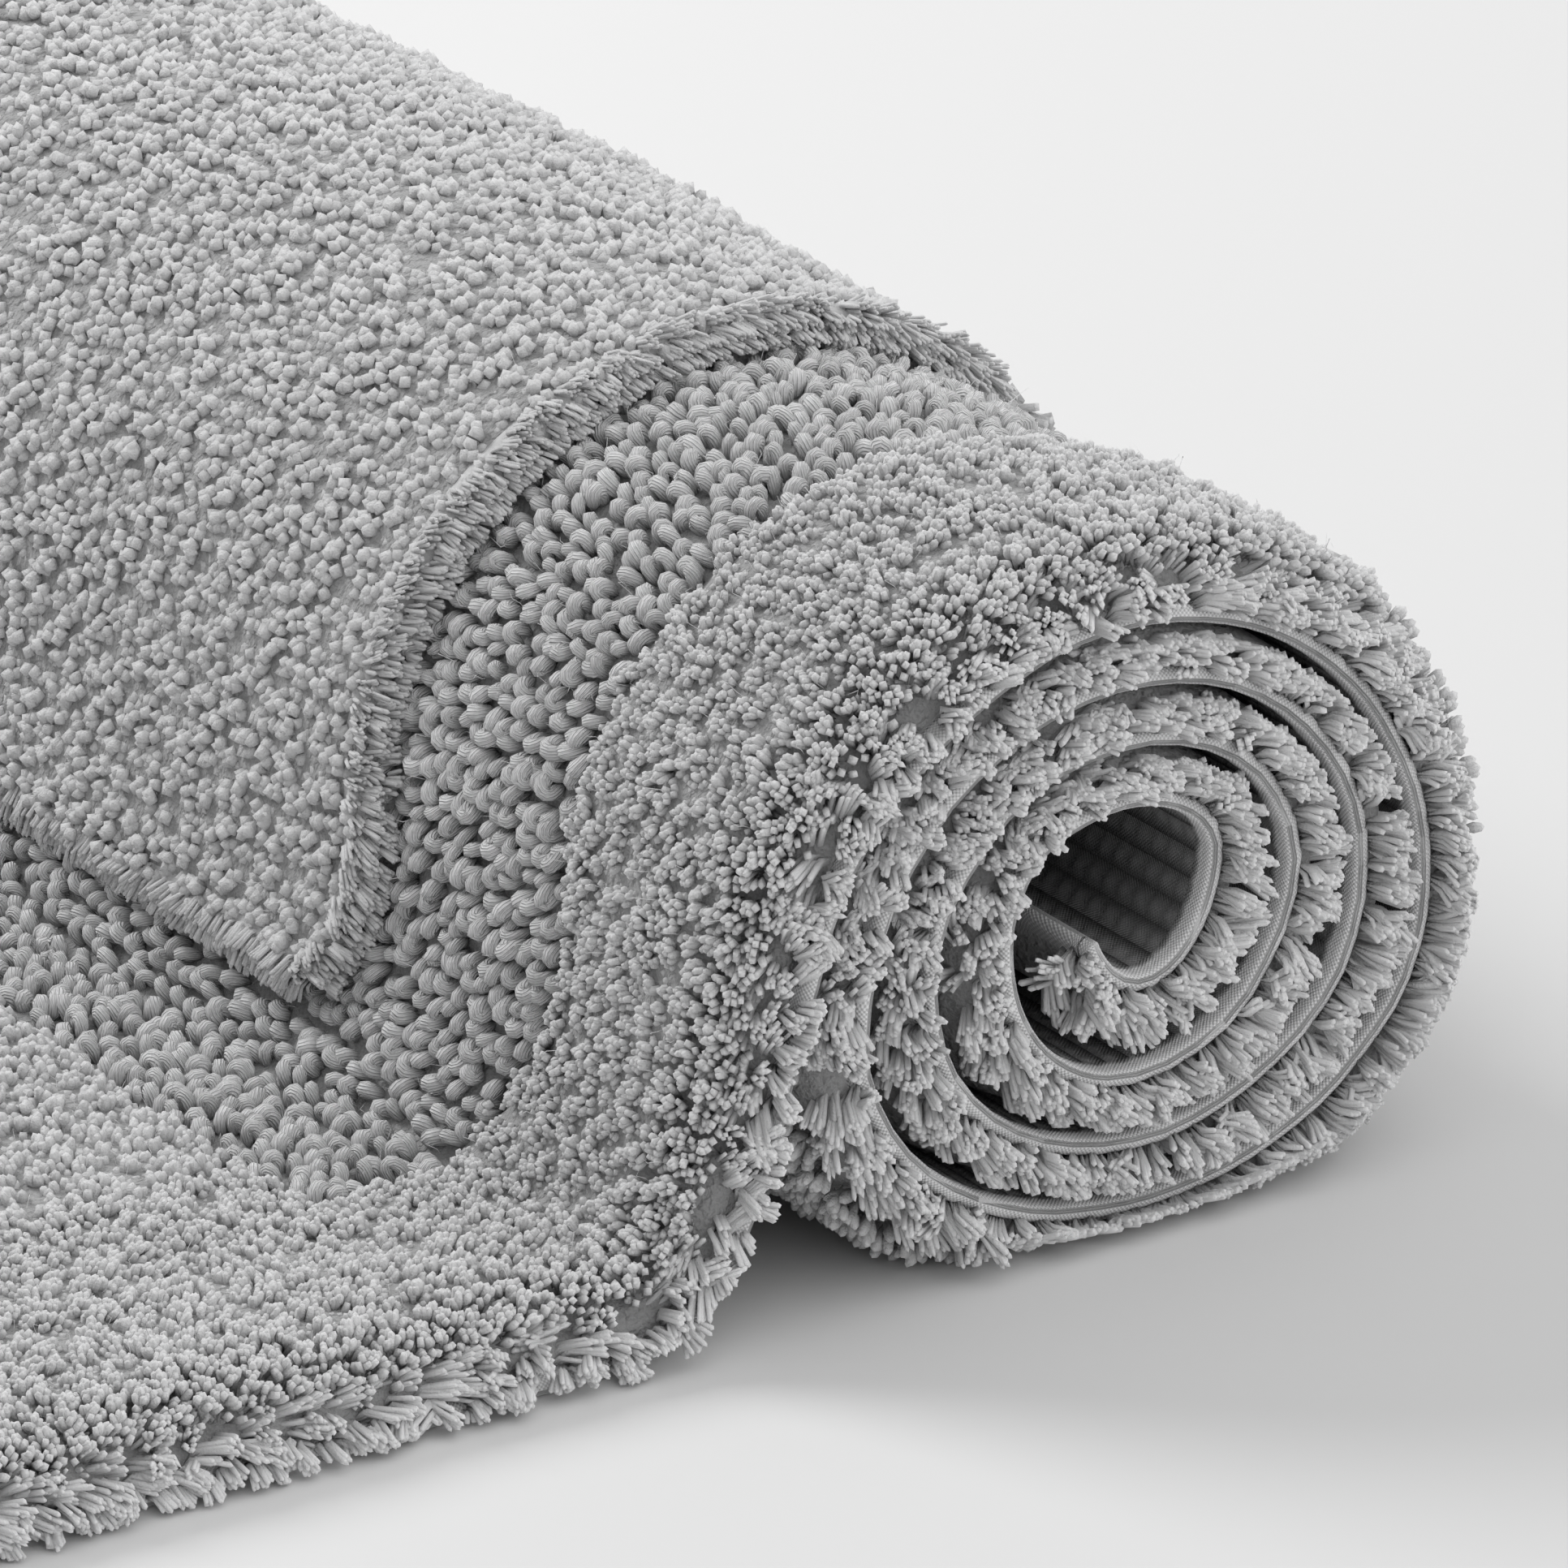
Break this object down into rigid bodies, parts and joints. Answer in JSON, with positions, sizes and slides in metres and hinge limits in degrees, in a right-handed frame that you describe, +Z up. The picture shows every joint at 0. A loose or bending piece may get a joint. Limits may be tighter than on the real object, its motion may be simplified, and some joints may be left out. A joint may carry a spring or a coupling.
{
  "type": "rolled bath mat",
  "caption": "Tufted cotton bath mat rolled up round an open core, its last stretch lying flat, with a looped frame between a cut border and a raised cut field.",
  "frame": {"origin": "middle of the footprint, on the floor that the mat lies on", "axes": "+X along the mat's length from its flat end towards the roll, +Y along the roll, +Z up"},
  "size_m": [0.2904, 0.6152, 0.1161],
  "materials": {
    "cotton_pile": "light grey tufted cotton, cut pile with a frame of yarn loops, matt and soft",
    "ground_cloth": "light grey plain-weave cotton ground cloth with rows of back stitches and a turned hem"
  },
  "bodies": {
    "root": {"mat": "cotton_pile"}
  },
  "joints": []
}
